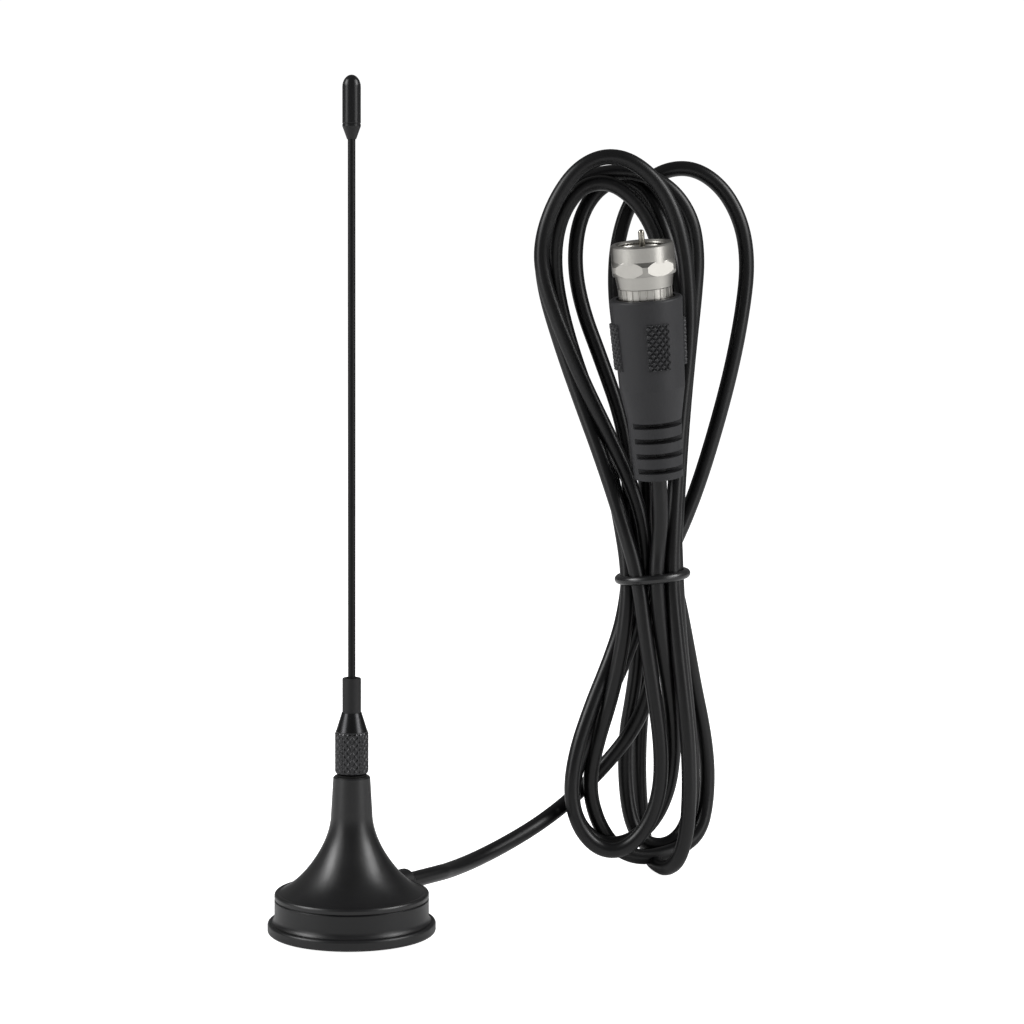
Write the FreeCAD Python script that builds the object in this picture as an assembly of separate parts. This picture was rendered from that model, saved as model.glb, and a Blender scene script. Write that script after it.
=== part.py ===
"""Whip antenna for television: a bell-shaped magnetic base, an unscrewing whip, and a coaxial
lead tied in a hank that ends in a screw-on aerial plug.

Millimetres, +Z up. The origin is on the floor at the centre of the round base, +X points
towards the hank and +Y to the back, where the lead leaves the base.
"""
import FreeCAD
import Part
import math
import os

V = FreeCAD.Vector
UP = V(0, 0, 1)

# Base cup: the lower moulding, with a flange round its foot
cup_radius = 12.9
cup_wall = 1.3
cup_floor = 0.6
flange_proud = 1.15
flange_height = 1.9
flange_round = 0.5
flange_blend = 1.1
flange_blend_width = 0.385
flange_blend_sag = 0.11
seam_z = 6.0
seam_chamfer = 0.18
seat_wall = 0.8

# Pieces stacked in the cup, from the floor up
pad_inset = 0.6
pad_thickness = 0.8
pad_proud = 0.3
pad_chamfer = 0.15
magnet_moat = 2.6
magnet_hole_radius = 2.0
magnet_thickness = 2.7
plate_overhang = 0.6
plate_hole_radius = 2.5
plate_thickness = 0.6

# Bell: the upper moulding, a shoulder that sweeps up into a slender neck
bell_wall = 1.6
skirt_depth = 0.9
skirt_wall = 0.8
shoulder_height = 0.7
shoulder_round = 0.75
shoulder_round_in = 0.165
shoulder_round_down = 0.06
neck_foot_z = 20.5
neck_foot_radius = 3.45
neck_top_z = 26.65
neck_top_radius = 3.1
neck_chamfer = 0.25
flank_fall = 1.9
flank_flick = 12
flank_flick_share = 0.12
flank_points = 9
flank_crowding = 1.5
flank_search_step = 0.1
post_count = 3
post_radius = 0.9
post_inset = 2.0

# Threaded insert in the neck, and the stud of the whip that screws into it
insert_radius = 2.1
insert_length = 6.5
insert_rib_count = 10
insert_rib_depth = 0.15
insert_tail_radius = 1.1
insert_tail_length = 2.8
insert_tail_clearance = 0.8
solder_cup_radius = 0.5
solder_cup_depth = 1.4
thread_radius = 1.5
thread_clearance = 0.04
thread_blind = 0.6
stud_length = 5.0
stud_relief_length = 0.8
stud_relief_radius = 1.2
stud_chamfer = 0.3

# Whip: washer, ferrule, sleeve, rod and cap
washer_radius = 2.45
washer_thickness = 0.3
washer_clearance = 0.15
grip_radius = 2.68
grip_length = 7.25
grip_chamfer = 0.3
cone_base_radius = 2.62
cone_length = 3.1
cone_top_radius = 1.66
spigot_radius = 1.1
spigot_length = 3.2
sleeve_radius = 1.56
sleeve_length = 5.8
sleeve_chamfer = 0.15
rod_radius = 0.625
rod_socket_depth = 4.2
cap_radius = 1.51
cap_length = 10.4
cap_dome_height = 2.0
cap_taper_length = 2.1
cap_mouth_radius = 0.75
cap_dome_points = 6
cap_ring_rise = 0.3
cap_ring_width = 0.24
cap_ring_depth = 0.08
cap_socket_depth = 8.2
antenna_height = 142.0

# Coaxial lead
cable_radius = 1.4
lead_azimuth = math.radians(50)
lead_z = 6.4
lead_inside = 3.5
lead_straight = 8.1
gland_radius = 2.3
gland_depth = 1.6
gland_proud = 1.0
gland_lip_radius = 2.8
gland_lip_length = 0.55
gland_round = 0.7
gland_entry = 2.5
core_radius = 0.45
core_turn = 1.9
core_rise = 5.2
drain_radius = 0.4
drain_offset = 0.85
drain_drop = 0.7
drain_reach = 3.6

# Route of the lead over the floor, from beyond the base to the tied hank
LEAD_ROUTE = [
    V(20.4, 29.6, 5.9),
    V(25.8, 36.6, 7.3),
    V(31.9, 43.3, 9.7),
    V(37.7, 48.2, 13.3),
    V(43.0, 50.3, 18.1),
]
bend_share = 0.45

# Hank: one solid for its lower loops, waist and upper loops. Each row is the height of a
# level section, the centre of its ellipse in X and Y, and its half widths in X and Y.
LOWER_LOOPS = [
    (0.0, 53.2, 48.2, 8.8, 8.6),
    (6.0, 51.3, 48.2, 12.8, 10.3),
    (15.0, 50.6, 48.2, 14.2, 10.6),
    (23.0, 50.6, 48.0, 13.4, 9.6),
    (33.0, 51.3, 47.3, 10.8, 8.0),
    (53.2, 52.3, 46.0, 5.2, 5.1),
]
UPPER_LOOPS = [
    (55.0, 52.1, 46.3, 4.5, 4.3),
    (72.0, 52.5, 50.2, 9.6, 5.5),
    (86.0, 52.5, 52.1, 14.2, 6.4),
    (100.0, 50.9, 52.8, 18.2, 6.8),
    (111.0, 50.0, 53.0, 20.1, 7.0),
    (121.0, 50.0, 53.0, 18.3, 6.6),
    (128.0, 49.7, 53.0, 13.2, 4.8),
    (131.7, 48.9, 53.0, 7.0, 2.6),
]
waist_x = 52.1
waist_y = 46.0
waist_z = 55.0
waist_lean = math.radians(5.9)
waist_radius = 5.4
waist_length = 4.4
tie_width = 1.7
tie_thickness = 1.55
tie_edge = 0.45

# Aerial plug, measured along its own axis from the foot of the boot
plug_foot_x = 52.7
plug_foot_y = 39.6
plug_foot_z = 73.7
tail_root_x = 52.4
tail_root_y = 42.4
tail_straight = 7.0
plug_lean_left = 2.95
plug_lean_front = 4.4
plug_lean_over = 33.3
boot_radius = 6.45
boot_length = 32.5
boot_taper_start = 10.6
boot_taper_end = 16.4
boot_waist_radius = 5.85
boot_round = 0.4
boot_pocket_radius = 5.3
boot_pocket_depth = 0.4
relief_top_radius = 4.85
relief_foot_radius = 4.4
moulding_turn = 13
slot_count = 4
slot_first = 1.75
slot_pitch = 2.75
slot_height = 1.0
slot_core_radius = 2.0
slot_web_width = 3.4
pad_count = 4
grip_pad_width = 4.1
grip_pad_height = 8.3
grip_pad_centre = 24.2
grip_pad_proud = 0.15
grip_pad_root = 1.0
barrel_radius = 4.1
barrel_depth = 9.0
collar_radius = 4.8
collar_height = 1.8
collar_rib_count = 24
collar_rib_depth = 0.15
post_shank_radius = 2.8
post_shank_depth = 7.0
post_bore_radius = 1.9
post_neck_radius = 3.5
post_flange_radius = 4.1
post_flange_thickness = 0.9
dielectric_depth = 6.0
dielectric_recess = 0.2
pin_radius = 0.55
pin_root_radius = 0.8
pin_proud = 2.4
nut_across_flats = 11.11
nut_length = 7.7
nut_gap = 0.1
nut_lip_thickness = 1.3
nut_running_clearance = 0.06
nut_chamber_radius = 4.6
nut_chamber_length = 1.3
nut_thread_radius = 4.45
nut_mouth_chamfer = 0.3
nut_crown_height = 3.2
nut_hex_height = 1.8
nut_crown_radius = 5.62
nut_corner_radius = 6.15
nut_hex_chamfer = 0.4
nut_band_radius = 5.25
nut_foot_radius = 4.85


def turned(start, *steps):
    """Solid turned about Z. A step is an (r, z) point reached by a line, ("arc", through, end)
    or ("curve", points); the outline closes itself with a line."""
    edges = []
    here = start
    for step in steps:
        if step[0] == "arc":
            edges.append(Part.Arc(flat(here), flat(step[1]), flat(step[2])).toShape())
            here = step[2]
        elif step[0] == "curve":
            curve = Part.BSplineCurve()
            curve.interpolate([flat(point) for point in step[1]])
            edges.append(curve.toShape())
            here = step[1][-1]
        else:
            edges.append(Part.LineSegment(flat(here), flat(step)).toShape())
            here = step
    edges.append(Part.LineSegment(flat(here), flat(start)).toShape())
    return Part.Face(Part.Wire(edges)).revolve(V(0, 0, 0), UP, 360)


def flat(point):
    return V(point[0], 0, point[1])


def rod(radius, low, high):
    return Part.makeCylinder(radius, high - low, V(0, 0, low), UP)


def ring(outer, inner, low, high):
    return rod(outer, low, high).cut(rod(inner, low, high))


def convex_arc(corner, radius, start_side, end_side):
    """Quarter round on a square corner: start_side and end_side are unit (r, z) directions
    from the corner along its two sides."""
    centre = (corner[0] + radius * (start_side[0] + end_side[0]),
              corner[1] + radius * (start_side[1] + end_side[1]))
    reach = radius / math.sqrt(2)
    through = (centre[0] - reach * (start_side[0] + end_side[0]),
               centre[1] - reach * (start_side[1] + end_side[1]))
    start = (corner[0] + radius * start_side[0], corner[1] + radius * start_side[1])
    end = (corner[0] + radius * end_side[0], corner[1] + radius * end_side[1])
    return start, ("arc", through, end)


def ribbed(radius, depth, count, low, high):
    """Grooves for straight ribs round a turned part: small rods to cut from its rim."""
    groove = Part.makeCylinder(depth, high - low, V(radius, 0, low), UP)
    cutters = []
    for index in range(count):
        cutter = groove.copy()
        cutter.rotate(V(0, 0, 0), UP, 360.0 * index / count)
        cutters.append(cutter)
    return Part.makeCompound(cutters)


def rounded_path(points):
    """Straight runs joined by tangent arcs, each as large as its two runs allow."""
    edges = []
    radii = []
    here = points[0]
    for before, corner, after in zip(points, points[1:], points[2:]):
        into = (corner - before).normalize()
        away = (after - corner).normalize()
        reach = bend_share * min((corner - before).Length, (after - corner).Length)
        half_turn = into.getAngle(away) / 2
        radii.append(reach / math.tan(half_turn))
        start = corner - into * reach
        end = corner + away * reach
        inward = (away - into).normalize()
        through = corner + inward * (radii[-1] / math.cos(half_turn) - radii[-1])
        edges.append(Part.LineSegment(here, start).toShape())
        edges.append(Part.Arc(start, through, end).toShape())
        here = end
    edges.append(Part.LineSegment(here, points[-1]).toShape())
    return Part.Wire(edges), radii


def tube(name, points, radius):
    """Solid round section carried along a rounded path, with a check of its volume."""
    path, radii = rounded_path(points)
    direction = (points[1] - points[0]).normalize()
    section = Part.Wire(Part.Circle(points[0], direction, radius).toShape())
    solid = path.makePipeShell([section], True, False)
    share = solid.Volume / (math.pi * radius ** 2 * path.Length)
    print(name, "bend radii", [round(value, 1) for value in radii], "length", round(path.Length, 1),
          "volume over section times length", round(share, 4))
    return solid


def outward(distance, z=0.0, side=0.0):
    """Point at a distance from the antenna's axis towards the lead, and off to one side."""
    along = V(math.cos(lead_azimuth), math.sin(lead_azimuth), 0)
    across = V(-along.y, along.x, 0)
    return along * distance + across * side + V(0, 0, z)


cup_underside = pad_proud
floor_low = pad_thickness
floor_high = floor_low + cup_floor
magnet_top = floor_high + magnet_thickness
plate_top = magnet_top + plate_thickness
fit = 0.05
flange_radius = cup_radius + flange_proud
pad_radius = cup_radius - pad_inset
mouth_radius = cup_radius - cup_wall
magnet_radius = mouth_radius - magnet_moat
plate_radius = magnet_radius + plate_overhang
post_centre_radius = plate_radius - post_inset
gland_inner = mouth_radius - gland_depth
gland_outer = cup_radius + gland_proud
lead_inner_end = gland_inner - lead_inside
lead_turn = cup_radius + lead_straight


def bottom_pad():
    """Non-slip pad, glued in the shallow pocket under the cup; the antenna stands on it."""
    return turned((0, 0), (pad_radius - pad_chamfer, 0), (pad_radius, pad_chamfer),
                  (pad_radius, pad_thickness), (0, pad_thickness))


def base_cup():
    """Lower moulding: flanged foot, round wall, and a raised seat round the magnet."""
    high = cup_underside + flange_height
    foot_start, foot_arc = convex_arc((flange_radius, cup_underside), flange_round, (-1, 0), (0, 1))
    rim_start, rim_arc = convex_arc((flange_radius, high), flange_round, (0, -1), (-1, 0))
    blend_foot = (cup_radius + flange_blend_width, high)
    blend_mid = (cup_radius + flange_blend_sag, high + flange_blend_width)
    blend_top = (cup_radius, high + flange_blend)
    body = turned(
        (pad_radius + fit, cup_underside), foot_start, foot_arc, rim_start, rim_arc,
        blend_foot, ("arc", blend_mid, blend_top), (cup_radius, seam_z - seam_chamfer),
        (cup_radius - seam_chamfer, seam_z), (mouth_radius, seam_z), (mouth_radius, floor_high),
        (0, floor_high), (0, floor_low),
        (pad_radius + fit, floor_low))
    seat = ring(magnet_radius + fit + seat_wall, magnet_radius + fit, floor_high,
                floor_high + magnet_thickness / 2)
    return body.fuse(seat).removeSplitter().cut(gland_hole())


def magnet():
    return ring(magnet_radius, magnet_hole_radius, floor_high, magnet_top)


def ground_plate():
    """Steel disc on the magnet; the screen of the lead is soldered to it."""
    return ring(plate_radius, plate_hole_radius, magnet_top, plate_top)


shoulder_top = seam_z + shoulder_height + shoulder_round / 2
flank_start_radius = cup_radius - shoulder_round


def flank_radius(z):
    """Radius of the bell's sweep: a power law with a quick flick out to the shoulder."""
    rest = max(0.0, 1 - (z - shoulder_top) / (neck_foot_z - shoulder_top))
    fall = (1 - flank_flick_share) * rest ** flank_fall + flank_flick_share * rest ** flank_flick
    return neck_foot_radius + (flank_start_radius - neck_foot_radius) * fall


def flank(shift_in=0.0, shift_down=0.0, lowest_radius=0.0):
    """Points of the sweep, closer together near the shoulder, moved in and down for the
    inner side of the wall."""
    points = []
    for index in range(flank_points):
        share = (index / (flank_points - 1)) ** flank_crowding
        z = shoulder_top + (neck_foot_z - shoulder_top) * share
        radius = flank_radius(z) - shift_in
        if radius > lowest_radius:
            points.append((radius, z - shift_down))
    return points


def bell_housing():
    """Upper moulding: shoulder, concave sweep and neck, hollow below the neck, with posts
    that hold the ground plate down on the magnet."""
    sweep = flank()
    shoulder_low = (cup_radius, seam_z + shoulder_height)
    shoulder_mid = (cup_radius - shoulder_round_in, shoulder_top - shoulder_round_down)
    skirt_radius = mouth_radius - fit
    outer = turned(
        (0, seam_z - skirt_depth), (skirt_radius, seam_z - skirt_depth), (skirt_radius, seam_z),
        (cup_radius - seam_chamfer, seam_z), (cup_radius, seam_z + seam_chamfer),
        shoulder_low, ("arc", shoulder_mid, sweep[0]), ("curve", sweep),
        (neck_top_radius, neck_top_z - neck_chamfer), (neck_top_radius - neck_chamfer, neck_top_z),
        (0, neck_top_z))
    shift = bell_wall * math.sin(math.pi / 4)
    tail_space = insert_tail_radius + insert_tail_clearance
    inner_sweep = flank(shift, shift, tail_space)
    insert_low = neck_top_z - insert_length
    mouth = skirt_radius - skirt_wall
    hollow = turned(
        (0, seam_z - skirt_depth), (mouth, seam_z - skirt_depth), (mouth, seam_z),
        *inner_sweep, (tail_space, insert_low), (0, insert_low))
    shell = outer.cut(hollow)
    for index in range(post_count):
        angle = lead_azimuth + math.pi / post_count + 2 * math.pi * index / post_count
        centre = V(post_centre_radius * math.cos(angle), post_centre_radius * math.sin(angle),
                   plate_top)
        post = Part.makeCylinder(post_radius, flank_height_at(post_centre_radius) - plate_top,
                                 centre, UP)
        shell = shell.fuse(post)
    bore = rod(insert_radius, insert_low, neck_top_z)
    return shell.removeSplitter().cut(bore).cut(gland_hole())


def flank_height_at(radius):
    """Height, inside the wall of the bell, of a point at this distance from the axis."""
    z = neck_foot_z
    while flank_radius(z) < radius + bell_wall / 2:
        z -= flank_search_step
    return z - bell_wall / 2


def gland_profile(outer_radius, inner_end, outer_end, lip_radius, lip_end, end_round):
    """Turned form of the gland about Z, laid along the lead afterwards."""
    start, arc = convex_arc((outer_radius, outer_end), end_round, (0, -1), (-1, 0))
    return turned((0, inner_end), (lip_radius, inner_end), (lip_radius, lip_end),
                  (outer_radius, lip_end), start, arc, (0, outer_end))


def laid_along_lead(shape):
    placed = shape.copy()
    across = V(-math.sin(lead_azimuth), math.cos(lead_azimuth), 0)
    placed.rotate(V(0, 0, 0), across, 90)
    placed.translate(V(0, 0, lead_z))
    return placed


def gland_hole():
    """Space for the gland where bell and cup meet, from the cavity out through the wall."""
    lip = rod(gland_lip_radius, gland_inner, gland_inner + gland_lip_length)
    body = rod(gland_radius, gland_inner - gland_entry, gland_outer)
    return laid_along_lead(lip.fuse(body))


def cable_gland():
    """Strain relief gripped between bell and cup, with a rounded nub outside."""
    body = gland_profile(gland_radius, gland_inner, gland_outer, gland_lip_radius,
                         gland_inner + gland_lip_length, gland_round)
    return laid_along_lead(body.cut(rod(cable_radius, gland_inner, gland_outer)))


def threaded_insert():
    """Brass insert moulded into the neck, with a solder cup for the core of the lead."""
    low = neck_top_z - insert_length
    tail_low = low - insert_tail_length
    body = rod(insert_radius, low, neck_top_z)
    band = insert_length / 4
    ribs = ribbed(insert_radius, insert_rib_depth, insert_rib_count, low + band,
                  neck_top_z - band)
    tail = rod(insert_tail_radius, tail_low, low)
    bore = rod(thread_radius, neck_top_z + washer_thickness - stud_length - thread_blind,
               neck_top_z)
    cup = rod(solder_cup_radius, tail_low, tail_low + solder_cup_depth)
    return body.cut(ribs).fuse(tail).removeSplitter().cut(bore).cut(cup)


def core_wire():
    """Insulated inner conductor, from the end of the lead up into the solder cup."""
    top = neck_top_z - insert_length - insert_tail_length + solder_cup_depth
    points = [outward(lead_inner_end, lead_z), outward(core_turn, lead_z),
              outward(0, lead_z + core_rise), V(0, 0, top)]
    return tube("core_wire", points, core_radius)


def drain_wire():
    """Twisted screen of the lead, bent down and soldered flat on the ground plate."""
    level = plate_top + drain_radius
    step = drain_reach / 3
    points = [outward(lead_inner_end, lead_z - drain_drop, drain_offset),
              outward(lead_inner_end - step, lead_z - drain_drop, drain_offset),
              outward(lead_inner_end - 2 * step, level, drain_offset),
              outward(lead_inner_end - 3 * step, level, drain_offset)]
    return tube("drain_wire", points, drain_radius)


ferrule_low = neck_top_z + washer_thickness
grip_top = ferrule_low + grip_length
cone_top = grip_top + cone_length
spigot_top = cone_top + spigot_length
sleeve_top = cone_top + sleeve_length
rod_low = cone_top - rod_socket_depth
cap_low = antenna_height - cap_length
rod_top = cap_low + cap_socket_depth


def whip_washer():
    return ring(washer_radius, thread_radius + washer_clearance, neck_top_z, ferrule_low)


def whip_ferrule():
    """Turned ferrule: stud below, grip barrel, polished cone, and a spigot for the sleeve."""
    stud_r = thread_radius - thread_clearance
    stud_low = ferrule_low - stud_length
    body = turned(
        (0, stud_low), (stud_r - stud_chamfer, stud_low), (stud_r, stud_low + stud_chamfer),
        (stud_r, ferrule_low - stud_relief_length),
        (stud_relief_radius, ferrule_low - stud_relief_length), (stud_relief_radius, ferrule_low),
        (grip_radius - grip_chamfer, ferrule_low), (grip_radius, ferrule_low + grip_chamfer),
        (grip_radius, grip_top), (cone_base_radius, grip_top), (cone_top_radius, cone_top),
        (spigot_radius, cone_top), (spigot_radius, spigot_top), (0, spigot_top))
    return body.cut(rod(rod_radius, rod_low, spigot_top))


def whip_sleeve():
    """Open-topped tube pushed over the spigot, with a dark gap round the rod."""
    return turned((spigot_radius, cone_top), (sleeve_radius, cone_top),
                  (sleeve_radius, sleeve_top - sleeve_chamfer),
                  (sleeve_radius - sleeve_chamfer, sleeve_top), (spigot_radius, sleeve_top))


def whip_rod():
    return rod(rod_radius, rod_low, rod_top)


def tip_cap():
    """Moulded bullet on the end of the rod: tapered mouth, ring line, and a domed end."""
    taper_top = cap_low + cap_taper_length
    ring_low = taper_top + cap_ring_rise
    dome_low = antenna_height - cap_dome_height
    dome = [(cap_radius * math.cos(angle), dome_low + cap_dome_height * math.sin(angle))
            for angle in [math.pi / 2 * index / cap_dome_points for index in range(cap_dome_points + 1)]]
    dome[-1] = (0, antenna_height)
    body = turned(
        (0, cap_low), (cap_mouth_radius, cap_low), (cap_radius, taper_top),
        (cap_radius, ring_low), (cap_radius - cap_ring_depth, ring_low + cap_ring_width / 2),
        (cap_radius, ring_low + cap_ring_width), (cap_radius, dome_low),
        ("curve", dome))
    return body.cut(rod(rod_radius, cap_low, rod_top))


def cable_lead(hank):
    """Lead from inside the base, through the gland and up to the hank in one sagging curve."""
    inside = [outward(lead_inner_end, lead_z), outward(lead_turn, lead_z)]
    return tube("cable_lead", inside + LEAD_ROUTE, cable_radius).cut(hank)


waist_centre = V(waist_x, waist_y, waist_z)


def oval(z, x, y, half_x, half_y):
    return Part.Wire(Part.Ellipse(V(x, y, z), half_x, half_y).toShape())


def waist_axis():
    return V(-math.sin(waist_lean), 0, math.cos(waist_lean))


def cable_hank():
    """Outer form of the tied hank: lower loops that stand on the floor, a round waist
    inside the tie, and the upper loops."""
    lower = Part.makeLoft([oval(*row) for row in LOWER_LOOPS], True, True)
    upper = Part.makeLoft([oval(*row) for row in UPPER_LOOPS], True, True)
    foot = waist_centre - waist_axis() * (waist_length / 2)
    waist = Part.makeCylinder(waist_radius, waist_length, foot, waist_axis())
    return waist.fuse(lower).fuse(upper).removeSplitter()


def cable_tie():
    """Rubber band round the waist of the hank."""
    half = tie_width / 2
    outer = waist_radius + tie_thickness
    band = turned(
        (waist_radius, -half), (outer - tie_edge, -half), (outer, -half + tie_edge),
        (outer, half - tie_edge), (outer - tie_edge, half), (waist_radius, half))
    band.Placement = FreeCAD.Placement(waist_centre, FreeCAD.Rotation(UP, waist_axis()))
    return band


plug_axis = V(-plug_lean_left, -plug_lean_front, plug_lean_over).normalize()
plug_foot = V(plug_foot_x, plug_foot_y, plug_foot_z)
plug_place = FreeCAD.Placement(plug_foot, FreeCAD.Rotation(UP, plug_axis))


def on_plug(shape):
    placed = shape.copy()
    placed.Placement = plug_place.multiply(placed.Placement)
    return placed


def cable_tail(hank):
    """Last stretch of cable, straight from under the tie up to the foot of the boot."""
    root = V(tail_root_x, tail_root_y, waist_z)
    bend = plug_foot - plug_axis * tail_straight
    return tube("cable_tail", [root, bend, plug_foot], cable_radius).cut(hank)


collar_top = boot_length + collar_height
nut_low = collar_top + nut_gap
nut_high = nut_low + nut_length
flange_low = nut_low + nut_lip_thickness + nut_gap
flange_high = flange_low + post_flange_thickness
insulator_top = flange_high - dielectric_recess
barrel_low = boot_length - barrel_depth


def relief_slots():
    """Window cutters of the strain relief: a window at the front and one at the back of
    each level, which leave a core round the cable and a web at either side."""
    cutters = []
    for level in range(slot_count):
        low = slot_first + slot_pitch * level - slot_height / 2
        window = ring(boot_radius, slot_core_radius, low, low + slot_height)
        web = Part.makeBox(2 * boot_radius, slot_web_width, slot_height,
                           V(-boot_radius, -slot_web_width / 2, low))
        cutters.append(window.cut(web))
    return Part.makeCompound(cutters)


def grip_pads():
    """Raised finger pads round the boot, proud of its wall."""
    low = grip_pad_centre - grip_pad_height / 2
    high = low + grip_pad_height
    slope = (boot_radius - boot_waist_radius) / (boot_length - boot_taper_end)
    low_radius = boot_waist_radius + slope * (low - boot_taper_end)
    high_radius = boot_waist_radius + slope * (high - boot_taper_end)
    band = turned(
        (low_radius - grip_pad_root, low), (low_radius + grip_pad_proud, low),
        (high_radius + grip_pad_proud, high), (low_radius - grip_pad_root, high))
    pads = []
    for index in range(pad_count):
        box = Part.makeBox(grip_pad_width, 2 * boot_radius, grip_pad_height,
                           V(-grip_pad_width / 2, 0, low))
        box.rotate(V(0, 0, 0), UP, 360.0 * index / pad_count)
        pads.append(band.common(box))
    return pads


def connector_boot():
    """Boot moulded on the cable: slotted strain relief, taper, and a body with finger pads."""
    rim_start, rim_arc = convex_arc((boot_radius, boot_length), boot_round, (0, -1), (-1, 0))
    body = turned(
        (0, 0), (relief_foot_radius, 0), (relief_top_radius, boot_taper_start),
        (boot_waist_radius, boot_taper_end), rim_start, rim_arc,
        (boot_pocket_radius, boot_length),
        (boot_pocket_radius, boot_length - boot_pocket_depth),
        (barrel_radius, boot_length - boot_pocket_depth), (barrel_radius, barrel_low),
        (0, barrel_low))
    body.rotate(V(0, 0, 0), UP, -moulding_turn)
    body = body.cut(relief_slots())
    for pad in grip_pads():
        body = body.fuse(pad)
    body = body.removeSplitter()
    body.rotate(V(0, 0, 0), UP, moulding_turn)
    return on_plug(body)


def connector_body():
    """Plated barrel moulded into the boot, with the ribbed collar seen above it."""
    collar_low = boot_length - boot_pocket_depth
    barrel = rod(barrel_radius, barrel_low, collar_low)
    collar = rod(collar_radius, collar_low, collar_top)
    ribs = ribbed(collar_radius, collar_rib_depth, collar_rib_count, collar_low, collar_top)
    bore = rod(post_shank_radius, boot_length - post_shank_depth, collar_top)
    core = rod(post_bore_radius, barrel_low, collar_top)
    return on_plug(barrel.fuse(collar.cut(ribs)).removeSplitter().cut(bore).cut(core))


def connector_post():
    """Flanged tube pressed into the barrel; its flange keeps the nut on."""
    body = turned(
        (post_bore_radius, boot_length - post_shank_depth),
        (post_shank_radius, boot_length - post_shank_depth), (post_shank_radius, collar_top),
        (post_neck_radius, collar_top), (post_neck_radius, flange_low),
        (post_flange_radius, flange_low), (post_flange_radius, flange_high),
        (post_bore_radius, flange_high))
    return on_plug(body)


def connector_insulator():
    """Plastic disc and sleeve that centre the pin in the post."""
    low = boot_length - dielectric_depth
    return on_plug(ring(post_bore_radius, pin_root_radius, low, insulator_top))


def centre_pin():
    """Plug pin: thick root held in the insulator, slim free end with a rounded tip."""
    low = boot_length - dielectric_depth
    tip = nut_high + pin_proud
    dome = pin_radius * math.sqrt(0.5)
    body = turned(
        (0, low), (pin_root_radius, low), (pin_root_radius, insulator_top), (pin_radius, insulator_top),
        (pin_radius, tip - pin_radius),
        ("arc", (dome, tip - pin_radius + dome), (0, tip)))
    return on_plug(body)


def coupling_nut():
    """Loose nut of the plug: round crown, short hexagon, and a foot that tapers to the
    collar; its inner lip runs on the neck of the post, below the flange."""
    crown_low = nut_high - nut_crown_height
    hex_low = crown_low - nut_hex_height
    corner_reach = nut_across_flats / math.sqrt(3)
    hexagon = Part.makePolygon([
        V(corner_reach * math.sin(math.pi / 3 * index), corner_reach * math.cos(math.pi / 3 * index),
          hex_low - nut_hex_chamfer) for index in range(7)])
    prism = Part.Face(hexagon).extrude(V(0, 0, nut_hex_height + 2 * nut_hex_chamfer))
    trim = turned(
        (0, hex_low - nut_hex_chamfer), (nut_crown_radius, hex_low - nut_hex_chamfer),
        (nut_corner_radius, hex_low + nut_hex_chamfer), (nut_corner_radius, crown_low - nut_hex_chamfer),
        (nut_crown_radius, crown_low + nut_hex_chamfer), (0, crown_low + nut_hex_chamfer))
    round_body = turned(
        (0, nut_low), (nut_foot_radius, nut_low), (nut_band_radius, hex_low),
        (nut_band_radius, crown_low), (nut_crown_radius, crown_low),
        (nut_crown_radius, nut_high - nut_mouth_chamfer),
        (nut_crown_radius - nut_mouth_chamfer, nut_high), (0, nut_high))
    lip_top = nut_low + nut_lip_thickness
    chamber_top = flange_high + nut_chamber_length
    hollow = turned(
        (0, nut_low), (post_neck_radius + nut_running_clearance, nut_low),
        (post_neck_radius + nut_running_clearance, lip_top), (nut_chamber_radius, lip_top),
        (nut_chamber_radius, chamber_top), (nut_thread_radius, chamber_top),
        (nut_thread_radius, nut_high - nut_mouth_chamfer),
        (nut_thread_radius + nut_mouth_chamfer, nut_high), (0, nut_high))
    return on_plug(round_body.fuse(prism.common(trim)).removeSplitter().cut(hollow))


def main():
    hank = cable_hank()
    pieces = {
        "bottom_pad": bottom_pad(),
        "base_cup": base_cup(),
        "magnet": magnet(),
        "ground_plate": ground_plate(),
        "bell_housing": bell_housing(),
        "threaded_insert": threaded_insert(),
        "core_wire": core_wire(),
        "drain_wire": drain_wire(),
        "cable_gland": cable_gland(),
        "whip_washer": whip_washer(),
        "whip_ferrule": whip_ferrule(),
        "whip_sleeve": whip_sleeve(),
        "whip_rod": whip_rod(),
        "tip_cap": tip_cap(),
        "cable_lead": cable_lead(hank),
        "cable_hank": hank,
        "cable_tie": cable_tie(),
        "cable_tail": cable_tail(hank),
        "connector_boot": connector_boot(),
        "connector_body": connector_body(),
        "connector_post": connector_post(),
        "connector_insulator": connector_insulator(),
        "centre_pin": centre_pin(),
        "coupling_nut": coupling_nut(),
    }
    os.makedirs("parts", exist_ok=True)
    for name, shape in pieces.items():
        if len(shape.Solids) != 1 or not shape.isValid():
            print(name, "has", len(shape.Solids), "solids, valid", shape.isValid())
        shape.exportStep("parts/" + name + ".step")


main()
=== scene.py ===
"""Looks of the television whip antenna: satin black mouldings, knurled ferrule, and the coaxial
lead with its tied hank and plug, lit by large soft lights on white."""
import math

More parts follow.
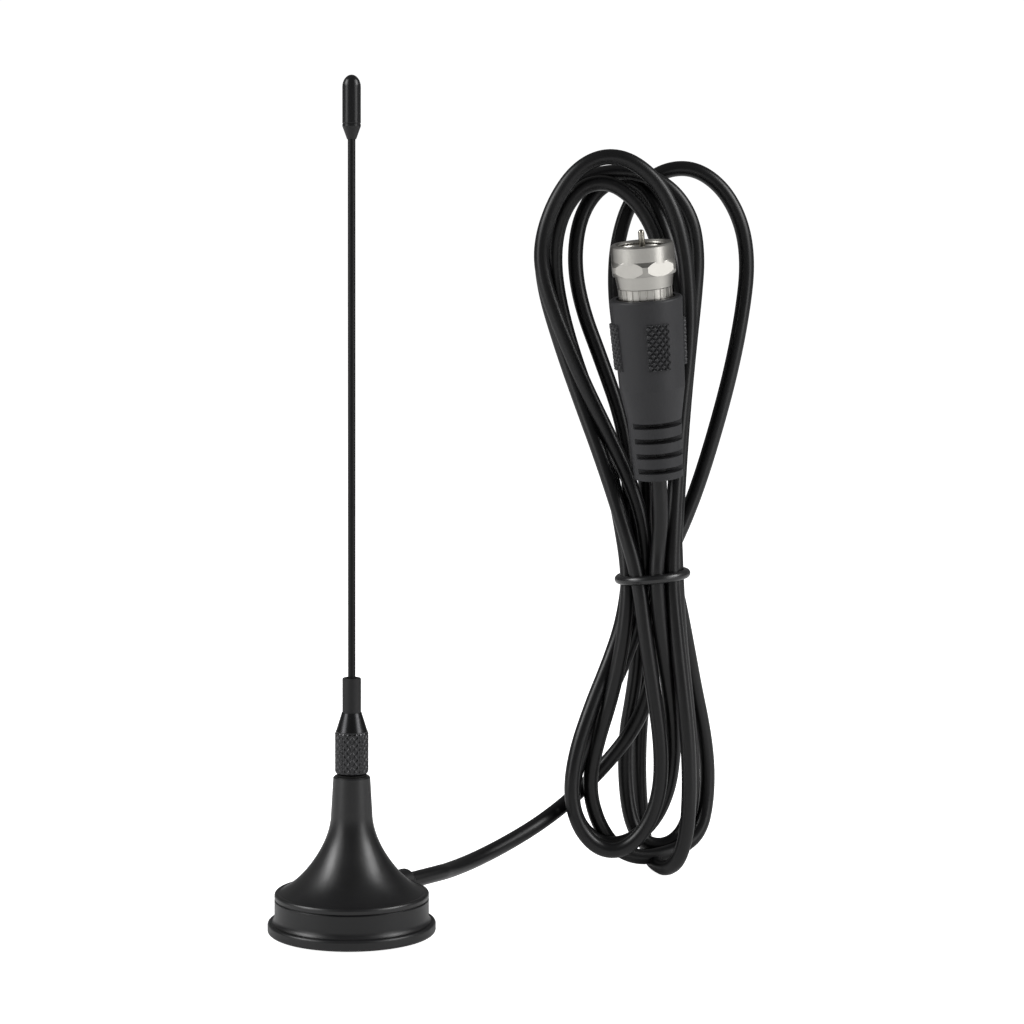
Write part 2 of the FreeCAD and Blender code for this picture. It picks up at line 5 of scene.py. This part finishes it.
import bpy
import numpy as np
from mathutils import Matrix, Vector


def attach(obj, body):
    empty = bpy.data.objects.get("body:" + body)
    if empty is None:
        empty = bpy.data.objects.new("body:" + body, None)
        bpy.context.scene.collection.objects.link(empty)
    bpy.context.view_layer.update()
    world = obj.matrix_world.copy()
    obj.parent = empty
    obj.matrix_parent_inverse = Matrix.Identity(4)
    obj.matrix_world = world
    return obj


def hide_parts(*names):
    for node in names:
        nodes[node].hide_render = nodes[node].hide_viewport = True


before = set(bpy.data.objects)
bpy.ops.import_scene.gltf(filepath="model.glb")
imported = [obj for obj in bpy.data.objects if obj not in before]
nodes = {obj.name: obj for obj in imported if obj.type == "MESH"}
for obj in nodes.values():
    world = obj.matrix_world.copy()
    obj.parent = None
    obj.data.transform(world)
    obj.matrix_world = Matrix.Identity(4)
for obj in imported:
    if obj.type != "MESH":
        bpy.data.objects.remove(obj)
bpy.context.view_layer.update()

# Camera
# It looks from in front and a little above, with a long lens, as worked out from the ellipses of
# the base and the floor line of the hank. The eye is in mm, the lens in points of the photograph.
eye = np.array([26.2, -443, 112])
photo_side = 1024
lens_points = 2700
sensor_width = 36
camera_lean = math.radians(5.31)
camera_roll = math.radians(0.3)
camera_data = bpy.data.cameras.new("camera")
camera_data.sensor_width = sensor_width
camera_data.lens = sensor_width * lens_points / photo_side
camera_data.clip_start = 0.01
camera_data.clip_end = 20
camera = bpy.data.objects.new("camera", camera_data)
bpy.context.scene.collection.objects.link(camera)
camera.location = eye * 0.001
camera.rotation_euler = (math.pi / 2 - camera_lean, -camera_roll, 0)
bpy.context.scene.camera = camera

# Bottom pad
# A disc of soft rubber, glued in the pocket under the base, that keeps the antenna from sliding.
# Its fine grit makes it the dullest surface of all.


def linear(code):
    """Linear colour of an sRGB hex code."""
    values = [int(code[i:i + 2], 16) / 255 for i in (0, 2, 4)]
    return [v / 12.92 if v <= 0.04045 else ((v + 0.055) / 1.055) ** 2.4 for v in values] + [1]


def add(tree, kind, links=(), sockets=(), **values):
    """Adds a shader node; links are (input, other node, output), sockets (input, value)."""
    node = tree.nodes.new(kind)
    for key, value in values.items():
        setattr(node, key, value)
    for target, value in sockets:
        node.inputs[target].default_value = value
    for target, other, output in links:
        tree.links.new(other.outputs[output], node.inputs[target])
    return node


grains_in_cloud = 22
tint_spread = 0.2
cloud_low = 0.3
cloud_high = 0.7
bump_strength = 0.6


def finish(title, colour, roughness, spread, grains_per_mm, relief, specular=0.5, metallic=0):
    """Material with grains of so many to the mm and a relief in mm as its bump. Clouds that are 22
    grains wide shift the roughness by the spread and the colour by a fifth, both up and down."""
    material = bpy.data.materials.new(title)
    material.use_nodes = True
    tree = material.node_tree
    shader = tree.nodes["Principled BSDF"]
    shader.inputs["Metallic"].default_value = metallic
    shader.inputs["Specular IOR Level"].default_value = specular
    grains = grains_per_mm * 1000
    place = add(tree, "ShaderNodeTexCoord")
    grain = add(tree, "ShaderNodeTexNoise", [("Vector", place, "Object")],
                [("Scale", grains), ("Detail", 3)])
    cloud = add(tree, "ShaderNodeTexNoise", [("Vector", place, "Object")],
                [("Scale", grains / grains_in_cloud), ("Detail", 4)])
    rough = add(tree, "ShaderNodeMapRange", [("Value", cloud, "Fac")],
                [("From Min", cloud_low), ("From Max", cloud_high),
                 ("To Min", roughness - spread), ("To Max", roughness + spread)])
    base = linear(colour)[:3]
    dark = [(1 - tint_spread) * v for v in base] + [1]
    pale = [min(1, (1 + tint_spread) * v) for v in base] + [1]
    tint = add(tree, "ShaderNodeMixRGB", [("Fac", cloud, "Fac")],
               [("Color1", dark), ("Color2", pale)], blend_type="MIX")
    bump = add(tree, "ShaderNodeBump", [("Height", grain, "Fac")],
               [("Strength", bump_strength), ("Distance", relief * 0.001)])
    tree.links.new(rough.outputs["Result"], shader.inputs["Roughness"])
    tree.links.new(tint.outputs["Color"], shader.inputs["Base Color"])
    tree.links.new(bump.outputs["Normal"], shader.inputs["Normal"])
    return material


def coat(material, *pieces):
    """Gives each piece this material alone."""
    for piece in pieces:
        piece.data.materials.clear()
        piece.data.materials.append(material)


pad_rubber = finish("matt pad rubber", "141415", roughness=0.75, spread=0.1, grains_per_mm=3,
                    relief=0.02, specular=0.2)
coat(pad_rubber, nodes["bottom_pad"])

# Base cup
# The lower moulding with the foot, in black ABS from a lightly polished mould. It shows soft
# highlights along its flange, a shade brighter than the bell.
cup_abs = finish("semi-gloss moulded ABS", "121213", roughness=0.36, spread=0.05,
                 grains_per_mm=5.2, relief=0.004, specular=0.35)
coat(cup_abs, nodes["base_cup"])

# Magnet
# A pressed and sintered ferrite ring in the cup, which holds the antenna on steel. It is dull,
# dark grey and gritty.
ferrite = finish("sintered ferrite", "2b2b2d", roughness=0.7, spread=0.1, grains_per_mm=6,
                 relief=0.02, specular=0.3)
coat(ferrite, nodes["magnet"])

# Ground plate
# A stamped disc of tinned steel that lies on the magnet; the screen of the cable is soldered to
# it. Its tin is bright, with broad dull clouds.
tinned_steel = finish("tinned steel", "b9b9b4", roughness=0.35, spread=0.12, grains_per_mm=0.9,
                      relief=0.004, metallic=1)
coat(tinned_steel, nodes["ground_plate"])

# Bell housing
# The upper moulding, from the shoulder through the concave sweep to the neck, pressed over the
# cup. It is black ABS from a finely eroded mould, which gives a satin skin with soft highlights.
bell_abs = finish("satin moulded ABS", "0e0e0f", roughness=0.35, spread=0.04, grains_per_mm=5.2,
                  relief=0.005, specular=0.46)
coat(bell_abs, nodes["bell_housing"])

# Threaded insert
# A turned brass bush, moulded into the neck, that takes the stud of the whip. Its fresh brass is
# yellow and bright.
insert_brass = finish("turned brass", "c79a4a", roughness=0.28, spread=0.1, grains_per_mm=1.5,
                      relief=0.003, metallic=1)
coat(insert_brass, nodes["threaded_insert"])

# Core wire
# The inner conductor of the cable in its white extruded polythene, soldered into the cup of the
# insert. It looks waxy.
core_polythene = finish("extruded polythene", "e9e7df", roughness=0.5, spread=0.05,
                        grains_per_mm=1.2, relief=0.003, specular=0.4)
coat(core_polythene, nodes["core_wire"])

# Drain wire
# The screen of the cable, twisted into one tail and soldered on the ground plate. It is bare
# copper with fine strands.
screen_copper = finish("twisted copper", "b56a3c", roughness=0.35, spread=0.1, grains_per_mm=4,
                       relief=0.03, metallic=1)
coat(screen_copper, nodes["drain_wire"])

# Cable gland
# The short strain relief at the back right of the base, moulded on the lead in soft PVC and
# caught between cup and bell. It is a little duller than they are.
gland_pvc = finish("moulded PVC", "151516", roughness=0.45, spread=0.06, grains_per_mm=4,
                   relief=0.006, specular=0.3)
coat(gland_pvc, nodes["cable_gland"])

# Whip washer
# A thin punched washer of vulcanised fibre between the neck and the whip. It is dull, and dark
# at its cut edge.
washer_fibre = finish("vulcanised fibre", "101010", roughness=0.7, spread=0.1, grains_per_mm=5,
                      relief=0.01, specular=0.2)
coat(washer_fibre, nodes["whip_washer"])

# Whip ferrule, knurl and stud thread
# The ferrule is turned from brass, with a diamond knurl rolled into its grip barrel and a fine
# right-hand thread on its stud. Black chrome gives it sharp bright lines on a dark ground.
knurl_low = 27.25
knurl_high = 34.1
knurl_radius = 2.66
knurl_depth = 0.13
knurl_count = 17
knurl_rise = 1.25
knurl_flank = 0.55
knurl_fade = 0.25
knurl_back = 2.3
steps_per_diamond = 14
knurl_rows = 90
stud_low = 22.35
stud_high = 26.1
stud_radius = 1.462
stud_thread_height = 0.032
stud_thread_pitch = 0.5
stud_back = 1.3
stud_steps = 72
stud_rows = 121


def round_grid(steps, heights):
    """Angles of a full turn in so many steps, against heights, as two grids."""
    return np.meshgrid(np.linspace(0, 2 * np.pi, steps, endpoint=False), heights, indexing="ij")


def about_whip(radius, angle, height):
    """Points in mm at a radius, angle and height about the upright axis of the whip."""
    return np.stack([radius * np.cos(angle), radius * np.sin(angle), height], axis=-1)


def closed_band(name, points):
    """Piece from a grid of points in mm that closes on itself both ways, as a ring does: each
    point makes a face with the next in its row, in its column and across."""
    rows, columns = points.shape[:2]
    index = np.arange(rows * columns).reshape(rows, columns)
    below = np.roll(index, -1, axis=0)
    beside = np.roll(index, -1, axis=1)
    across = np.roll(below, -1, axis=1)
    faces = np.stack([index, beside, across, below], axis=-1).reshape(-1, 4)
    mesh = bpy.data.meshes.new(name)
    mesh.from_pydata((points.reshape(-1, 3) * 0.001).tolist(), [], faces.tolist())
    mesh.shade_smooth()
    mesh.update()
    band = bpy.data.objects.new(name, mesh)
    bpy.context.scene.collection.objects.link(band)
    return band


def ridge_wave(angle, height, pitch):
    """Height of a thread's ridge from 0 to 1: it rises and falls evenly once in each pitch, and
    a full turn shifts it by one pitch."""
    phase = (height / pitch - angle / (2 * np.pi)) % 1
    return 1 - np.abs(2 * phase - 1)


# The knurl: two sets of grooves, the waves of a count round the barrel and of a rise along it,
# slant left and right, and the lower wave of the two cuts the diamonds. They fade at both ends.
angle, height = round_grid(knurl_count * steps_per_diamond,
                           np.linspace(knurl_low, knurl_high, knurl_rows))
left_groove = np.abs(np.sin(knurl_count * angle / 2 + np.pi * height / knurl_rise))
right_groove = np.abs(np.sin(knurl_count * angle / 2 - np.pi * height / knurl_rise))
groove = np.minimum(np.minimum(left_groove, right_groove) / knurl_flank, 1)
end = np.clip((height - knurl_low) / knurl_fade, 0, 1) * np.clip(
    (knurl_high - height) / knurl_fade, 0, 1)
outer_band = about_whip(knurl_radius + knurl_depth * groove * end, angle, height)
inner_band = about_whip(knurl_back, angle, height)[:, ::-1]
knurl = closed_band("grip_knurl", np.concatenate([outer_band, inner_band], axis=1))
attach(knurl, "whip")

# The stud's thread, seen when the whip is unscrewed: the radius grows with the ridge.
angle, height = round_grid(stud_steps, np.linspace(stud_low, stud_high, stud_rows))
radius = stud_radius + stud_thread_height * ridge_wave(angle, height, stud_thread_pitch)
outer_band = about_whip(radius, angle, height)
inner_band = about_whip(stud_back, angle, height)[:, ::-1]
stud_thread = closed_band("stud_thread", np.concatenate([outer_band, inner_band], axis=1))
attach(stud_thread, "whip")

black_chrome = finish("black chrome", "3a3a3b", roughness=0.26, spread=0.08, grains_per_mm=1.8,
                      relief=0.002, metallic=1)
coat(black_chrome, nodes["whip_ferrule"], knurl, stud_thread)

# Whip sleeve
# A short extruded rubber tube, pushed over the spigot of the ferrule, that covers the foot of the
# rod. It is matt, with a dark gap round the rod at its open top.
sleeve_rubber = finish("matt sleeve rubber", "161617", roughness=0.55, spread=0.08,
                       grains_per_mm=4.5, relief=0.006, specular=0.3)
coat(sleeve_rubber, nodes["whip_sleeve"])

# Whip rod
# The slim rod of spring steel, crimped in the spigot. A thin black coat leaves it nearly without
# shine.
rod_steel = finish("black coated steel", "0b0b0c", roughness=0.45, spread=0.06, grains_per_mm=2.6,
                   relief=0.004, specular=0.2)
coat(rod_steel, nodes["whip_rod"])

# Tip cap
# The bullet cap of ABS, moulded in a polished mould and glued on the rod. Its gloss is the
# highest of the mouldings.
cap_abs = finish("gloss moulded ABS", "141415", roughness=0.3, spread=0.04, grains_per_mm=1.8,
                 relief=0.004, specular=0.3)
coat(cap_abs, nodes["tip_cap"])

# Cable
# A coaxial lead with an extruded PVC jacket, one piece from the gland to the plug. It runs over
# the floor, is folded into ten turns that differ in size, and the tied hank stands on its lower
# turns. The jacket is smooth and takes long narrow highlights. All places are in mm.
cable_radius = 1.4
waist = np.array([52.1, 46.0, 55.0])

# The lead repeats the route of the part's source, with its third point added and the others
# moved by up to 0.4 mm to follow the photograph. The tail rises from the tie to the plug's foot.
lead = [
    (4.2, 5, 6.4), (13.5, 16.1, 6.4), (16, 22.4, 5.7), (20.3, 29.7, 5.9), (26.1, 36.6, 7.5),
    (31.9, 43.3, 9.7), (37.7, 48.4, 13.2), (42.9, 50.3, 18.1),
]
tail = [
    (52.5, 41.5, 55), (52.9, 41.9, 61), (53.3, 40.5, 66.8), (52.7, 39.6, 73.7),
]

# Slots in which the turns start at the tie: how far to the right of its centre, and behind it.
tie_slots = {
    "left": (-4.4, -1.1), "right": (4.5, -0.4), "front left": (-2.7, -3.7),
    "front right": (3.2, -3.2), "back left": (-4.1, 1.9), "back right": (3.7, 2.6),
    "rear left": (-2.0, 4.1), "rear": (1.2, 4.35), "inner left": (-1.4, -0.4),
    "inner right": (1.5, 0.4),
}

# Places traced in the photograph: points across and down, and the depth that was judged
# for each. First the end of the lead, which climbs beside the lower turns into the tie, then the
# turns in the order in which the cable runs through them, each with the slot where it starts.
climb = [
    (625, 741, 50.2), (642, 713, 49.8), (651, 685, 49), (657, 650, 47.8), (661, 612, 46.8),
]
turns = {
    "inner left upper": ("inner right", [
        (660, 530, 47.4), (660, 480, 49), (662, 425, 50), (665, 370, 50), (666.5, 315, 49.8),
        (664.5, 268, 49.6), (654.8, 230.5, 49.5), (636.5, 200.5, 49.5), (611, 182.5, 49.5),
        (584, 187, 49.5), (565, 212, 49.6), (557, 248, 50.2), (559, 288, 51.2), (572, 345, 51.8),
        (591, 400, 51.2), (608, 455, 49.6), (620, 515, 47),
    ]),
    "wide lower": ("left", [
        (625, 628, 44.5), (615, 690, 45.2), (597.4, 745, 46), (591.8, 784, 46.4),
        (599.8, 820, 46.6), (617, 845.5, 46.6), (640, 855.5, 46.8), (667, 852, 48.4),
        (689, 841, 50.6), (701.5, 826, 52), (707, 800, 53.2), (709, 772, 53.8), (707, 747, 53.8),
        (702.5, 718, 53.4), (696.5, 688, 52.6), (688.5, 648, 51.2), (682, 603, 49.8),
    ]),
    "outer upper": ("back right", [
        (678, 530, 49.8), (680.3, 470, 51.6), (684.6, 410, 52.2), (690.5, 350, 52.2),
        (695.5, 298, 52), (697.6, 255, 52), (691.5, 217, 52), (671, 187.5, 52), (640, 173, 52),
        (609, 172.5, 52), (579, 182, 52), (556, 208, 51.8), (544, 246, 50.6), (547, 289, 49.8),
        (564, 348, 49.2), (583, 403, 47.6), (602, 455, 45.4), (621, 515, 43.4),
    ]),
    "front lower": ("front left", [
        (645, 630, 42), (655, 690, 41.6), (661.5, 745, 41.5), (660, 790, 41.5), (647, 826, 41.5),
        (625, 847.5, 41.6), (601, 846.5, 41.8), (581, 825, 42), (573.5, 793, 42.3),
        (578, 752, 43.1), (593, 705, 44.6), (611, 660, 47.3), (623, 620, 48.2),
    ]),
    "small upper": ("back left", [
        (630, 520, 49), (629, 465, 50), (622, 418, 50.5), (602, 358, 51.4), (584, 308, 52.2),
        (577, 262, 53), (582, 217, 54), (601, 189, 54.6), (626, 178.5, 54.7), (647.5, 192, 54.4),
        (663, 223, 52.6), (675, 264, 50.6), (681.5, 315, 50.4), (683.5, 370, 50), (680, 430, 49.2),
        (675, 500, 47.8),
    ]),
    "back lower": ("right", [
        (681, 640, 47.6), (688, 700, 49.8), (693.5, 760, 51.2), (692, 799, 52), (685.5, 827, 52.3),
        (671, 841.5, 51.6), (653, 843.5, 51.6), (638.5, 831, 52), (630.5, 808, 52.8),
        (626.5, 770, 53.6), (628, 730, 53.6), (633, 700, 53.2), (638, 660, 52.5), (641, 615, 51.4),
    ]),
    "right upper": ("rear left", [
        (648, 520, 51.8), (645.5, 460, 53), (632.5, 395, 54.4), (621, 330, 55.6), (617, 285, 56.4),
        (620, 240, 57.2), (633, 199, 57.6), (660, 174, 57.6), (692, 168, 57.4), (722, 187, 57.2),
        (741, 221, 57), (748, 262, 56.8), (743, 312, 56.4), (732, 370, 56), (716, 430, 55.2),
        (698, 485, 54.4), (681, 535, 53.2),
    ]),
    "low lower": ("rear", [
        (654, 625, 52.8), (646, 680, 54.8), (641, 735, 56.6), (641, 783, 57.6), (643.5, 820, 57.8),
        (647, 842, 56), (650.5, 854, 51.8), (657.5, 862.3, 46.2), (667.5, 866.6, 42.8),
        (679.5, 858.5, 41), (687.5, 832, 40.6), (690.2, 798, 40.6), (689.8, 762, 40.8),
        (688, 730, 41), (684, 690, 41.4), (679.5, 640, 42.2),
    ]),
    "front upper": ("front right", [
        (676, 520, 43.8), (678, 465, 45.2), (683, 410, 46.4), (689, 355, 47), (689.8, 303, 47),
        (683.3, 240, 47), (665.7, 192.5, 47), (636, 163, 47), (607, 156.4, 47), (578, 170.2, 47),
        (556, 202, 47), (543.5, 245, 47), (546, 280, 46.8), (563, 330, 46.6), (585, 382, 46.4),
        (609, 432, 46.2), (630, 480, 46), (643, 523, 45.8),
    ]),
    "hidden lower": ("inner left", [
        (640, 617, 47), (625, 660, 48), (606, 702, 48), (586.5, 745, 46.2), (574, 785, 45.4),
        (579, 818, 45), (600, 840.5, 44.6), (628, 840.5, 44.4), (653, 820, 44.4),
        (668.5, 790, 44.6), (674, 755, 44.5), (673.5, 722, 44.1), (670.5, 690, 43.4),
        (663.5, 640, 42.4),
    ]),
}

# The trace was made with a lean of the view that was later trimmed by 0.02 degree.
trace_lean = math.radians(5.33)
forward = np.array([0, math.cos(trace_lean), -math.sin(trace_lean)])
level_up = np.array([0, math.sin(trace_lean), math.cos(trace_lean)])
level_right = np.array([1, 0, 0])
view_right = level_right * math.cos(camera_roll) + level_up * math.sin(camera_roll)
view_up = level_up * math.cos(camera_roll) - level_right * math.sin(camera_roll)


def seen_at(rows):
    """Places of traced rows: from the eye along forward, plus right times across and minus up
    times down, both from the photograph's middle and over the lens, as far as the depth."""
    across, down, depth = np.array(rows).T
    rays = forward + np.outer((across - photo_side / 2) / lens_points, view_right) - np.outer(
        (down - photo_side / 2) / lens_points, view_up)
    return eye + rays * ((depth - eye[1]) / rays[:, 1])[:, None]


places = [np.array(lead), seen_at(climb)]
for slot, rows in turns.values():
    places += [[waist + (*tie_slots[slot], 0)], seen_at(rows)]
places = np.concatenate(places + [np.array(tail)])

# Nearest a control point the spline passes through three quarters of it plus an eighth of each
# neighbour. The control points of climb and turns are those for which that mix meets the traced
# places best, by least squares, while the change of the bend along the cable, weighted by the
# evenness, stays small. They are rounded to 0.1 mm; the lead and the tail stay as they are.
evenness = 0.12
count = len(places)
shaped = np.arange(len(lead), count - len(tail))
kept = np.setdiff1d(np.arange(count), shaped)
own = np.eye(count)
before = np.eye(count, k=-1)
after = np.eye(count, k=1)
mix = 0.75 * own + 0.125 * (before + after)
bend_change = (3 * own - before - 3 * after + np.eye(count, k=2))[1:-2]
weights = np.concatenate([mix[shaped], evenness * bend_change])
goal = np.concatenate([places[shaped], np.zeros((count - 3, 3))]) - weights[:, kept] @ places[kept]
places[shaped] = np.linalg.lstsq(weights[:, shaped], goal, rcond=None)[0]

curve = bpy.data.curves.new("cable", "CURVE")
curve.dimensions = "3D"
spline = curve.splines.new("NURBS")
spline.points.add(count - 1)
for point, place in zip(spline.points, np.round(places, 1)):
    point.co = (*(0.001 * place), 1)
    point.radius = cable_radius * 0.001
spline.use_endpoint_u = True
spline.order_u = 3
spline.resolution_u = 10
curve.bevel_depth = 1
curve.bevel_resolution = 6
curve.use_fill_caps = True
cable = bpy.data.objects.new("cable", curve)
bpy.context.scene.collection.objects.link(cable)
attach(cable, "base")
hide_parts("cable_lead", "cable_hank", "cable_tail")

cable_pvc = finish("extruded cable PVC", "0c0c0d", roughness=0.33, spread=0.06, grains_per_mm=1.6,
                   relief=0.006, specular=0.3)
coat(cable_pvc, cable)

# Tie
# A round ring of black rubber, pulled tight about the waist of the hank; it leans with the
# bundle. It is a ring: a circle of the section's radius carried round one of the ring's radius.
tie_lean = math.radians(5.9)
tie_ring_radius = 6.1
tie_section_radius = 0.84
ring_steps = 144
section_steps = 28
tie_along = np.array([math.cos(tie_lean), 0, math.sin(tie_lean)])
tie_back = np.array([0, 1, 0])
tie_up = np.array([-math.sin(tie_lean), 0, math.cos(tie_lean)])
round_ring, round_section = round_grid(
    ring_steps, np.linspace(0, 2 * np.pi, section_steps, endpoint=False))
reach = tie_ring_radius + tie_section_radius * np.cos(round_section)
rise = tie_section_radius * np.sin(round_section)
outward = np.cos(round_ring)[..., None] * tie_along + np.sin(round_ring)[..., None] * tie_back
tie = closed_band("tie_ring", waist + reach[..., None] * outward + rise[..., None] * tie_up)
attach(tie, "base")
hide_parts("cable_tie")

tie_rubber = finish("tie rubber", "101011", roughness=0.3, spread=0.06, grains_per_mm=2.6,
                    relief=0.006)
coat(tie_rubber, tie)

# Plug boot and its grip studs
# The boot is moulded over the cable and the barrel in dark grey soft PVC. Four low pads round it
# bear small diamond studs for the fingers. The satin grey skin is paler than the base.
plug_foot = np.array(tail[-1])
plug_lean = np.array([-2.95, -4.4, 33.3])
plug_up = plug_lean / np.linalg.norm(plug_lean)
plug_axes = np.array(Vector((0, 0, 1)).rotation_difference(Vector(plug_up)).to_matrix()).T
pad_turn = math.radians(13)
pad_low = 20.05
pad_high = 28.35
pad_half_width = 2.05
pad_radius = 6.15
pad_proud = 0.15
boot_low = 16.4
boot_low_radius = 5.85
boot_high = 32.5
boot_high_radius = 6.45
stud_pitch = 1.1
stud_height = 0.44
stud_sink = 0.06
stud_flank = 0.8
stud_slant = 0.8
stud_margin = 0.03
band_hidden = 0.35
band_thickness = 0.8
pad_steps = 57
gap_steps = 8
pad_rows = 109
quarter_turn = math.pi / 2


def on_plug(radius, angle, height):
    """Points at a radius, angle and height about the leaning axis of the plug."""
    return plug_foot + (radius * np.cos(angle))[..., None] * plug_axes[0] + (
        radius * np.sin(angle))[..., None] * plug_axes[1] + height[..., None] * plug_axes[2]


# One band runs round the boot: proud on the four pads, where two slanting waves of the stud pitch
# cross and the lower one shapes the diamonds, and between the pads hidden inside the boot's wall.
half_angle = pad_half_width / pad_radius
angles = []
for quarter in range(4):
    middle = pad_turn + quarter_turn * quarter
    angles += list(middle + np.linspace(-half_angle, half_angle, pad_steps))
    angles += list(
        middle + np.linspace(half_angle, quarter_turn - half_angle, gap_steps)[1:-1])
angle, height = np.meshgrid(np.array(angles), np.linspace(pad_low, pad_high, pad_rows),
                            indexing="ij")
wall = boot_low_radius + (boot_high_radius - boot_low_radius) * (height - boot_low) / (
    boot_high - boot_low)
along = ((angle - pad_turn + quarter_turn / 2) % quarter_turn - quarter_turn / 2) * pad_radius
up = height - (pad_low + pad_high) / 2
left_wave = np.abs(np.cos(np.pi * (along + stud_slant * up) / stud_pitch))
right_wave = np.abs(np.cos(np.pi * (along - stud_slant * up) / stud_pitch))
studs = stud_height * np.clip(np.minimum(left_wave, right_wave) / stud_flank, 0, 1) - stud_sink
inside = (np.abs(along) < pad_half_width - stud_margin) & (height > pad_low + stud_margin) & (
    height < pad_high - stud_margin)
outer_band = on_plug(wall + np.where(inside, pad_proud + studs, -band_hidden), angle, height)
inner_band = on_plug(wall - band_thickness, angle, height)[:, ::-1]
grip = closed_band("grip_studs", np.concatenate([outer_band, inner_band], axis=1))
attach(grip, "base")

boot_pvc = finish("satin boot PVC", "252527", roughness=0.5, spread=0.06, grains_per_mm=5.2,
                  relief=0.008, specular=0.3)
coat(boot_pvc, nodes["connector_boot"], grip)

# Plug barrel, post, coupling nut and the nut's thread
# Turned brass parts: the barrel sits in the boot, the flanged post in the barrel, and the nut
# turns on the post's flange. Nickel plate gives them broad warm grey highlights with dark bands.
thread_low = 38.2
thread_high = 41.75
thread_pitch = 0.79
thread_wall = 4.47
thread_depth = 0.24
thread_back = 4.75
thread_steps = 120
thread_rows = 80
angle, height = round_grid(thread_steps, np.linspace(thread_high, thread_low, thread_rows))
thread_ridge = thread_wall - thread_depth * ridge_wave(angle, height, thread_pitch)
inner_band = on_plug(thread_ridge, angle, height)
outer_band = on_plug(np.full_like(thread_ridge, thread_back), angle, height)[:, ::-1]
thread = closed_band("nut_thread", np.concatenate([inner_band, outer_band], axis=1))
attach(thread, "nut")

nickel_plate = finish("nickel plate", "a8a6a1", roughness=0.31, spread=0.08, grains_per_mm=1.4,
                      relief=0.002, metallic=1)
coat(nickel_plate, nodes["connector_body"], nodes["connector_post"], nodes["coupling_nut"], thread)

# Plug insulator
# The sleeve of white polythene between the post and the pin, moulded and pressed in. It is waxy
# and catches little light in the mouth of the nut.
insulator_polythene = finish("moulded polythene", "e6e2d8", roughness=0.5, spread=0.05,
                             grains_per_mm=1.5, relief=0.004, specular=0.4)
coat(insulator_polythene, nodes["connector_insulator"])

# Centre pin
# The turned pin, crimped on the inner conductor and nickel plated. It is the brightest and
# smoothest of the metal parts.
pin_nickel = finish("nickel pin", "8f8b82", roughness=0.25, spread=0.08, grains_per_mm=1.8,
                    relief=0.002, metallic=1)
coat(pin_nickel, nodes["centre_pin"])

# Floor
# A plain white studio floor. Its own glow takes the shade out of it for the camera, and adds
# only a little to the light on the antenna.
floor_glow_seen = 0.95
floor_glow_given = 0.05
floor_paint = bpy.data.materials.new("studio white")
floor_paint.use_nodes = True
tree = floor_paint.node_tree
shader = tree.nodes["Principled BSDF"]
shader.inputs["Base Color"].default_value = linear("f4f4f4")
shader.inputs["Roughness"].default_value = 0.9
shader.inputs["Emission Color"].default_value = (1, 1, 1, 1)
ray = add(tree, "ShaderNodeLightPath")
glow = add(tree, "ShaderNodeMapRange", [("Value", ray, "Is Camera Ray")],
           [("To Min", floor_glow_given), ("To Max", floor_glow_seen)])
tree.links.new(glow.outputs["Result"], shader.inputs["Emission Strength"])
bpy.ops.mesh.primitive_plane_add(size=12)
floor = bpy.context.object
floor.name = "floor"
floor.data.materials.append(floor_paint)

# Light
# A pale surround that the camera sees as white, and large soft boxes at the left and the right,
# one low and one high on each side. Each row: name, place and aim in m, width, height, watts.
surround_seen = 1.05
surround_given = 0.17
world = bpy.data.worlds.new("world")
world.use_nodes = True
backdrop = world.node_tree.nodes["Background"]
ray = add(world.node_tree, "ShaderNodeLightPath")
level = add(world.node_tree, "ShaderNodeMapRange", [("Value", ray, "Is Camera Ray")],
            [("To Min", surround_given), ("To Max", surround_seen)])
world.node_tree.links.new(level.outputs["Result"], backdrop.inputs["Strength"])
backdrop.inputs["Color"].default_value = (1, 1, 1, 1)
bpy.context.scene.world = world
bpy.context.scene.view_settings.view_transform = "Standard"
soft_boxes = [
    ("left box", (-0.62, -0.34, 0.28), (0, 0, 0.06), 0.34, 0.55, 1.9),
    ("right box", (0.66, -0.34, 0.28), (0.03, 0, 0.06), 0.34, 0.55, 1.9),
    ("top left box", (-0.74, -0.14, 0.58), (0, 0, 0.02), 0.34, 0.46, 5),
    ("top right box", (0.74, -0.14, 0.58), (0, 0, 0.02), 0.34, 0.46, 5),
]
for title, place, aim, width, tallness, power in soft_boxes:
    light = bpy.data.lights.new(title, "AREA")
    light.shape = "RECTANGLE"
    light.size = width
    light.size_y = tallness
    light.energy = power
    lamp = bpy.data.objects.new(title, light)
    bpy.context.scene.collection.objects.link(lamp)
    lamp.location = place
    lamp.rotation_euler = (Vector(aim) - Vector(place)).to_track_quat("-Z", "Y").to_euler()

bpy.context.view_layer.update()
